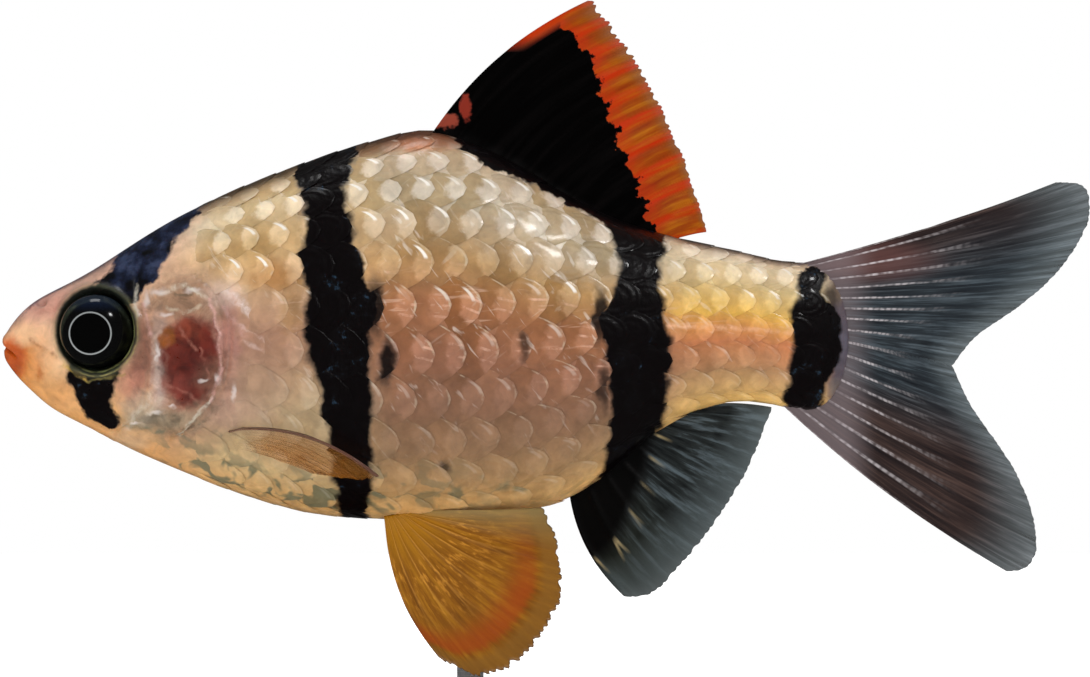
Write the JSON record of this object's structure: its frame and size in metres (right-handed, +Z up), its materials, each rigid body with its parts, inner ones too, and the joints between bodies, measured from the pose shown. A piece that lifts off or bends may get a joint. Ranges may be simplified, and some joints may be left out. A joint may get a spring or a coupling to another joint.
{
  "type": "tiger barb model",
  "caption": "Still life-size model of a tiger barb with spread fins, held clear of a flat oval base by a short rod under its belly.",
  "frame": {"origin": "centre of the bounding box, on the underside of the stand's base", "axes": "+X from the snout to the tail, +Y to the fish's right side, +Z up"},
  "size_m": [0.0652, 0.025, 0.0475],
  "materials": {
    "skin_head": "wet skin over bone, orange at the lips, black bar through the eye",
    "skin_gill_cover": "thin glossy plate, red gills showing through",
    "skin_trunk": "scaled skin, gold above and pink below, with black bars",
    "skin_tail_stalk": "scaled golden skin with a black bar",
    "eye": "black, glossy, with a silver ring",
    "fin_dorsal": "black rayed membrane with an orange-red margin",
    "fin_tail": "smoky blue-grey rayed membrane",
    "fin_anal": "black rayed membrane, grey-green behind",
    "fin_pelvic": "orange-brown rayed membrane",
    "fin_pectoral": "clear rayed membrane, tinted orange",
    "stand_wood": "black-stained hardwood, satin",
    "stand_steel": "satin steel rod"
  },
  "bodies": {
    "root": {"head": "skin_head", "gill_cover_left": "skin_gill_cover", "gill_cover_right": "skin_gill_cover", "trunk": "skin_trunk", "tail_stalk": "skin_tail_stalk", "eye_left": "eye", "eye_right": "eye", "dorsal_fin": "fin_dorsal", "caudal_fin_upper": "fin_tail", "caudal_fin_lower": "fin_tail", "anal_fin": "fin_anal", "pelvic_fin_left": "fin_pelvic", "pelvic_fin_right": "fin_pelvic", "pectoral_fin_left": "fin_pectoral", "pectoral_fin_right": "fin_pectoral", "stand_base": "stand_wood", "stand_rod": "stand_steel"}
  },
  "joints": []
}
